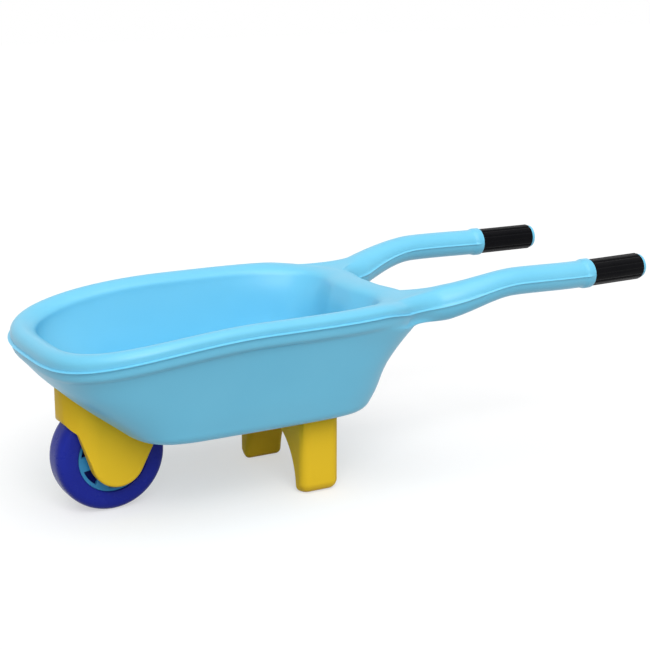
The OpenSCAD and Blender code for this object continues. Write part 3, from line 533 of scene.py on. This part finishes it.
def moulded(name, pale, deep, roughness, gloss, cloud, grain, ripple):
    """Plastic as it comes from the mould. Clouds of noise, cloud to the metre, shift its colour
    between pale and deep, and finer ones shift its roughness up and down by wear. Two bumps,
    grain and ripple metres deep, are its fine grain and the shallow ripple of uneven cooling."""
    wear, grain_scale, ripple_scale = 0.06, 1400, 28
    material = bpy.data.materials.new(name)
    material.use_nodes = True
    nodes, links = material.node_tree.nodes, material.node_tree.links
    shader = nodes["Principled BSDF"]
    shader.inputs["Specular IOR Level"].default_value = gloss
    place = nodes.new("ShaderNodeTexCoord")

    def noise(scale, detail):
        """Noise in the piece's own coordinates, about scale waves to the metre."""
        texture = nodes.new("ShaderNodeTexNoise")
        texture.inputs["Scale"].default_value = scale
        texture.inputs["Detail"].default_value = detail
        links.new(place.outputs["Object"], texture.inputs["Vector"])
        return texture.outputs["Fac"]

    tone = nodes.new("ShaderNodeValToRGB")
    tone.color_ramp.elements[0].position, tone.color_ramp.elements[1].position = 0.3, 0.7
    tone.color_ramp.elements[0].color, tone.color_ramp.elements[1].color = (*deep, 1), (*pale, 1)
    links.new(noise(cloud, 3), tone.inputs["Fac"])
    links.new(tone.outputs["Color"], shader.inputs["Base Color"])
    worn = nodes.new("ShaderNodeMapRange")
    worn.inputs["To Min"].default_value = roughness - wear
    worn.inputs["To Max"].default_value = roughness + wear
    links.new(noise(cloud * 4, 4), worn.inputs["Value"])
    links.new(worn.outputs["Result"], shader.inputs["Roughness"])
    fine_bump, wide_bump = nodes.new("ShaderNodeBump"), nodes.new("ShaderNodeBump")
    fine_bump.inputs["Distance"].default_value = grain
    wide_bump.inputs["Distance"].default_value = ripple
    links.new(noise(grain_scale, 2), fine_bump.inputs["Height"])
    links.new(noise(ripple_scale, 1), wide_bump.inputs["Height"])
    links.new(wide_bump.outputs["Normal"], fine_bump.inputs["Normal"])
    links.new(fine_bump.outputs["Normal"], shader.inputs["Normal"])
    return material


tub.data.materials.clear()
tub.data.materials.append(moulded("sky_blue_polyethylene", pale=(0.17, 0.58, 0.81), deep=(0.15, 0.555, 0.79),
                                  roughness=0.36, gloss=0.45, cloud=7, grain=0.00004, ripple=0.0006))
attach(tub, "barrow")
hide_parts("tub")

# ---- Grips ----
# Black vinyl grips with broad ribs, pushed over the cores of the arms until they meet the
# collars. The blue ends of the arms show behind them.
grip_r, grip_ribs, rib_h, rib_flat, rib_round, rib_points = 17.1, 12, 0.9, 1.6, 0.8, 14
seat, grip_fit, mould_out, inner_round, outer_round = 0.3, 0.2, 0.2, 1.5, 2.5
bore_edge, inner_face, round_steps, straight_steps = 0.8, 2.4, 8, 24
grip_turn = float(np.arctan((arm_y(grip_in_x) - arm_y(tip_x - tip_out)) / grip_l))
grip_length = grip_l / math.cos(grip_turn) - 2 * seat


def ribbed_sleeve(length, bore):
    """Sleeve along X, from its inner end. The outer radius is the smaller of a mould with round
    ends and a ribbed outline, in which a rib rises by its height times the smaller of 1 and
    rib_flat times a sine, to the power rib_round."""
    a = np.linspace(0, 2 * math.pi, grip_ribs * rib_points, endpoint=False)
    across_rib = a * grip_ribs / (2 * math.pi) % 1
    rib = grip_r - rib_h + rib_h * np.minimum(1.0, rib_flat * np.sin(math.pi * across_rib)) ** rib_round
    turned = np.radians(np.linspace(0, 90, round_steps))
    mould_r = grip_r + mould_out
    straight = np.linspace(inner_round + 0.5, length - outer_round - 0.5, straight_steps)
    x = np.concatenate([[0, 0, 0], inner_round - inner_round * np.cos(turned), straight,
                        length - outer_round + outer_round * np.sin(turned), [length] * 3, [length * 0.5]])
    limit = np.concatenate([[bore, bore + bore_edge, grip_r - inner_face],
                            mould_r - inner_round + inner_round * np.sin(turned),
                            np.full(straight_steps, mould_r),
                            mould_r - outer_round + outer_round * np.cos(turned),
                            [bore + 2 * bore_edge, bore + bore_edge, bore], [bore]])
    r = np.minimum(limit[:, None], rib[None, :])
    return np.stack([np.broadcast_to(x[:, None], r.shape), r * np.cos(a), r * np.sin(a)], axis=-1)


sleeve = ribbed_sleeve(grip_length - cap_in, core_r + grip_fit)
sleeve_number = np.arange(sleeve[:, :, 0].size).reshape(sleeve.shape[:2])
sleeve_faces = grid_faces(np.concatenate([sleeve_number, sleeve_number[:1]]))[:, ::-1].tolist()
vinyl = moulded("black_vinyl", pale=(0.003, 0.003, 0.004), deep=(0.002, 0.002, 0.003),
                roughness=0.26, gloss=0.05, cloud=30, grain=0.00012, ripple=0.0001)
for side, name in ((-1, "left_grip"), (1, "right_grip")):
    cos_turn, sin_turn = math.cos(-side * grip_turn), math.sin(-side * grip_turn)
    x = sleeve[..., 0] + seat
    placed = np.stack([grip_in_x + cos_turn * x - sin_turn * sleeve[..., 1],
                       side * float(arm_y(grip_in_x)) + sin_turn * x + cos_turn * sleeve[..., 1],
                       grip_z + sleeve[..., 2]], axis=-1)
    grip = solid(name + "_sleeve", placed.reshape(-1, 3), sleeve_faces, sharp=50)
    grip.data.materials.append(vinyl)
    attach(grip, "barrow")
    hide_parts(name)

# ---- Fork ----
# Yellow polypropylene moulding that holds the front wheel: a bridge over the wheel, screwed under
# the nose of the tub, and a cheek on each side with a blind socket for the axle.

# Places along the fork, such as bridge_x, are distances from the axle.
fork_w, bridge_x, bridge_z, neck_x, neck_z = 76.0, 58.5, 113.5, 45.0, 103.0
cheek_x, cheek_r, cheek_back, ramp_round, sunk = 54.5, 32.5, 1.0, 24.0, 1.0
front_r, neck_r, corner_r, fork_edge, edge_steps = 22.0, 8.0, 36.0, 3.5, 9
socket_l, axle_r = 8.0, 5.0
blank_top, blank_low = knee_z + 40, -10.0                    # beyond all that the trimming leaves
ramp_a = -math.atan(ramp_slope)


def ramp_at(x, d):
    """Height, at x, of a line a distance d below the flat ramp under the nose: the ramp's own
    height less d over the cosine of its angle."""
    return ramp_z + (x - mid_x + ramp_front) * ramp_slope - d / math.cos(ramp_a)


def outline(corners, n):
    """Closed outline in a plane through corners (x, y, radius), each rounded by an arc of n
    steps that touches both of its sides, or left as one point where its radius is 0. The arc's
    centre lies on the corner's bisector, at the radius over the sine of half its angle."""
    corners = np.asarray(corners, float)
    corner, r = corners[:, :2], corners[:, 2:]
    u, v = unit(np.roll(corner, 1, axis=0) - corner), unit(np.roll(corner, -1, axis=0) - corner)
    half_a = np.arccos(np.sum(u * v, axis=-1, keepdims=True)) / 2
    centre = corner + unit(u + v) * r / np.sin(half_a)
    a = corner + u * r / np.tan(half_a) - centre
    b = corner + v * r / np.tan(half_a) - centre
    from_a = np.arctan2(a[:, 1:], a[:, :1])
    swept = (np.arctan2(b[:, 1:], b[:, :1]) - from_a + 3 * math.pi) % (2 * math.pi) - math.pi
    t = from_a + swept * np.arange(n + 1) / n
    arcs = centre[:, None] + r[:, None] * np.stack([np.cos(t), np.sin(t)], axis=-1)
    return arcs[(r > 0) | (np.arange(n + 1) == 0)]


def soft_plate(p, half, edge):
    """Plate with the anticlockwise outline p and its edges rounded to the radius edge, which may
    differ from point to point. Its rings are the outline moved inwards along the bisectors of its
    corners, by edge times 1 - cos a, while the height goes by edge times 1 - sin a."""
    u, v = unit(p - np.roll(p, 1, axis=0)), unit(np.roll(p, -1, axis=0) - p)
    w = unit(u + v)
    inwards = np.stack([-w[:, 1], w[:, 0]], axis=-1) / np.sum(w * v, axis=-1, keepdims=True)
    a = np.radians(np.linspace(90, 0, edge_steps))[:, None]
    edge = np.broadcast_to(edge, (len(p),))[None]
    depth = edge * (1 - np.cos(a))
    height = edge * (1 - np.sin(a)) - half
    depth, height = np.concatenate([depth, depth[::-1]]), np.concatenate([height, -height[::-1]])
    flat = p[None] + depth[..., None] * inwards[None]
    pts = np.concatenate([flat, height[..., None]], axis=-1)
    index = np.arange(pts[..., 0].size).reshape(pts.shape[:2])
    sides = grid_faces(index)[:, ::-1].tolist()
    return pts.reshape(-1, 3), sides + [index[0, ::-1].tolist(), index[-1].tolist()]


def upright(p):
    """A shape drawn in X and Y set upright: its Y becomes height, and its Z runs to the left."""
    return np.stack([p[:, 0], -p[:, 2], p[:, 1]], axis=-1)


def revolved(profile, n):
    """Profile of (radius, place along Y) turned about the axle in n steps: its points, and the
    grid of their numbers."""
    a = np.linspace(0, 2 * math.pi, n, endpoint=False)
    pts = np.stack([axle_x + profile[:, :1] * np.cos(a),
                    np.broadcast_to(profile[:, 1:], (len(profile), n)),
                    axle_z + profile[:, :1] * np.sin(a)], axis=-1)
    index = np.arange(pts[..., 0].size).reshape(pts.shape[:2])
    return pts.reshape(-1, 3), index


def wheel_block(r, half, rim):
    """Solid wheel shape about the axle: a cylinder with its two edges rounded to the radius rim."""
    side = outline([(0, -half, 0), (r, -half, rim), (r, half, rim), (0, half, 0)], 12)[1:-1]
    profile = np.concatenate([[[1.0, -half]], side, [[1.0, half]]])
    pts, index = revolved(profile, 160)
    return pts, grid_faces(index).tolist() + [index[0].tolist(), index[-1, ::-1].tolist()]


def touch(p, side):
    """Angle at which a line from p touches the round foot of a cheek: the angle of p, seen from
    the foot's centre, and on one side of it the arc cosine of the foot's radius over p's distance."""
    return math.atan2(p[1], p[0]) + side * math.acos(cheek_r / math.hypot(*p))


# The blank is a thick plate with the fork's outline from the side: the front of the bridge, the
# neck, the round foot of the cheeks and their rear edge.
foot_a = np.linspace(touch((-neck_x - cheek_back, neck_z - axle_z), 1),
                     touch((cheek_x - cheek_back, floor_z - axle_z), -1) + 2 * math.pi, 49)
foot_arc = np.stack([axle_x + cheek_back + cheek_r * np.cos(foot_a),
                     axle_z + cheek_r * np.sin(foot_a), 0 * foot_a], axis=-1)
fork_side = outline(np.concatenate([
    [(axle_x - bridge_x, blank_top, 0), (axle_x - bridge_x, bridge_z, front_r),
     (axle_x - neck_x, neck_z, neck_r)],
    foot_arc, [(axle_x + cheek_x, floor_z, 0), (axle_x + cheek_x, blank_top, 0)]]), 9)
plate, plate_faces = soft_plate(fork_side, fork_w / 2, fork_edge)
fork = solid("fork_moulding", upright(plate), plate_faces)

# It is trimmed to its rounded plan and to the underside of the tub, into which it sinks by a
# little so that no gap shows; then the wheel's slot and the axle's two sockets are taken out.
ramp_foot = mid_x - ramp_front + (floor_z + sunk - sunk / math.cos(ramp_a) - ramp_z) / ramp_slope
seat_line = outline([(nose_x, -tyre_r, 0), (tip_x, -tyre_r, 0), (tip_x, floor_z + sunk, 0),
                     (ramp_foot, floor_z + sunk, ramp_round), (nose_x, ramp_at(nose_x, -sunk), 0)], 16)
under, under_faces = prism(seat_line, -tub_w / 2, tub_w / 2)
block, block_faces = wheel_block(tyre_r + slot_gap, slot_w / 2, well_rim)
plan_line = outline([(axle_x - bridge_x, -fork_w / 2, corner_r), (axle_x + tyre_r, -fork_w / 2, 0),
                     (axle_x + tyre_r, fork_w / 2, 0), (axle_x - bridge_x, fork_w / 2, corner_r)], 40)
socket_a = np.linspace(0, 2 * math.pi, 64, endpoint=False)
socket = np.stack([axle_r * np.cos(socket_a) + axle_x, axle_r * np.sin(socket_a) + axle_z], axis=-1)
socket_pts, socket_faces = prism(socket, -slot_w / 2 - socket_l, slot_w / 2 + socket_l)
fork = carved(fork, [("INTERSECT", *prism(plan_line, blank_low, bead_z)),
                     ("INTERSECT", upright(under), under_faces),
                     ("DIFFERENCE", block, block_faces),
                     ("DIFFERENCE", upright(socket_pts), socket_faces)], sharp=28)
fork.modifiers.new("even_shading", "WEIGHTED_NORMAL").keep_sharp = True
yellow_plastic = moulded("yellow_polypropylene", pale=(0.84, 0.555, 0.026), deep=(0.79, 0.515, 0.021),
                         roughness=0.45, gloss=0.1, cloud=9, grain=0.00005, ripple=0.0004)
fork.data.materials.clear()
fork.data.materials.append(yellow_plastic)
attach(fork, "barrow")
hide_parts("fork")

# ---- Stand ----
# Yellow polypropylene moulding with two legs and an arch between them, held under the floor of
# the tub by four screws.
stand_at, foot_l, stand_w, arch_w, arch_h, arch_end = 309.5, 50.0, 175.0, 127.0, 73.0, 8.0
toe_r, heel_r, leg_edge, arch_edge, leg_proud = 13.0, 8.0, 12.0, 7.0, 0.8
edge_from, edge_over = 4.0, 14.0
stand_x = nose_x + stand_at + foot_l / 2
arch_a = np.radians(np.linspace(180 - arch_end, arch_end, 61))
arch = np.stack([arch_w / 2 * np.cos(arch_a), arch_h * np.sin(arch_a), 0 * arch_a], axis=-1)
stand_front = outline(np.concatenate([
    [(-stand_w / 2, floor_z + sunk, 0), (-stand_w / 2, 0, toe_r), (-arch_w / 2 - 1, 0, heel_r)],
    arch, [(arch_w / 2 + 1, 0, heel_r), (stand_w / 2, 0, toe_r), (stand_w / 2, floor_z + sunk, 0)]]), 10)
# The edges are rounder on the outer side of the legs than along the arch.
outer_side = ease((np.abs(stand_front[:, 0]) - arch_w / 2 - edge_from) / edge_over)
stand_edge = mix(arch_edge, leg_edge, outer_side)
plate, plate_faces = soft_plate(stand_front, foot_l / 2 + leg_proud, stand_edge)
across = np.stack([stand_x + plate[:, 2], plate[:, 0], np.minimum(plate[:, 1], floor_z + sunk)], axis=-1)
stand = solid("stand_moulding", across, plate_faces, sharp=40)
stand.modifiers.new("even_shading", "WEIGHTED_NORMAL").keep_sharp = True
stand.data.materials.append(yellow_plastic)
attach(stand, "barrow")
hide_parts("stand")

# ---- Wheel ----
# A dark blue plastic tyre moulded in one with the thin web inside it, and a light blue spoked
# disc pressed into each side. The web's hub turns loosely on the axle.
hub_r, web_t, web_hub_r, axle_fit, tread_n, tread_end = 42.5, 3.0, 14.0, 0.08, 3.8, 89.5
bore_r, web_hub_l, tread_in = axle_r + axle_fit, 2 * web_t + 2, hub_r + 2.5
# The tread is a superellipse: cos a and sin a to the power 2 / tread_n, times its half axes.
tread_a = np.radians(np.linspace(tread_end, -tread_end, 61))
tread = np.stack([tread_in + (tyre_r - tread_in) * np.abs(np.cos(tread_a)) ** (2 / tread_n),
                  np.sign(tread_a) * tyre_w / 2 * np.abs(np.sin(tread_a)) ** (2 / tread_n)], axis=-1)
# From the bore outwards: the web's hub, the web, the seat of the disc, and its rounded mouth.
side_profile = np.array([[bore_r, web_hub_l / 2], [web_hub_r, web_hub_l / 2],
                         [web_hub_r + 1, web_t / 2], [hub_r, web_t / 2],
                         [hub_r, tyre_w / 2 - 2], [hub_r + 0.3, tyre_w / 2 - 1],
                         [hub_r + 1, tyre_w / 2 - 0.3], [hub_r + 1.8, tyre_w / 2]])
tyre_profile = np.concatenate([side_profile, tread, side_profile[::-1] * [1, -1]])
tyre_points, tyre_number = revolved(tyre_profile, 192)
tyre_faces = grid_faces(np.concatenate([tyre_number, tyre_number[:1]]))[:, ::-1].tolist()
tyre = solid("tyre_moulding", tyre_points, tyre_faces, sharp=35)
tyre.data.materials.append(moulded("deep_blue_plastic", pale=(0.015, 0.026, 0.32), deep=(0.012, 0.021, 0.28),
                                   roughness=0.28, gloss=0.1, cloud=14, grain=0.00005, ripple=0.0002))
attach(tyre, "wheel")
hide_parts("tyre")

hub_plastic = moulded("hub_blue_plastic", pale=(0.03, 0.27, 0.55), deep=(0.025, 0.23, 0.48),
                      roughness=0.35, gloss=0.35, cloud=20, grain=0.00005, ripple=0.0001)
for name in ("left_hub_disc", "right_hub_disc"):
    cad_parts[name].data.materials.clear()
    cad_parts[name].data.materials.append(hub_plastic)

# ---- Axle and screws ----
# A zinc-plated steel pin, held in the sockets of the cheeks, and eight self-tapping screws with
# cross recesses, which hold the fork and the stand from inside the tub.

# The plating's dull bloom is made of the same clouds and grain as the plastics, on metal.
zinc = moulded("zinc_plated_steel", pale=(0.42, 0.43, 0.45), deep=(0.34, 0.35, 0.37),
               roughness=0.36, gloss=0.5, cloud=90, grain=0.00002, ripple=0.00002)
zinc.node_tree.nodes["Principled BSDF"].inputs["Metallic"].default_value = 1.0
for name in ("axle", "fork_screws", "stand_screws"):
    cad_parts[name].data.materials.clear()
    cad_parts[name].data.materials.append(zinc)
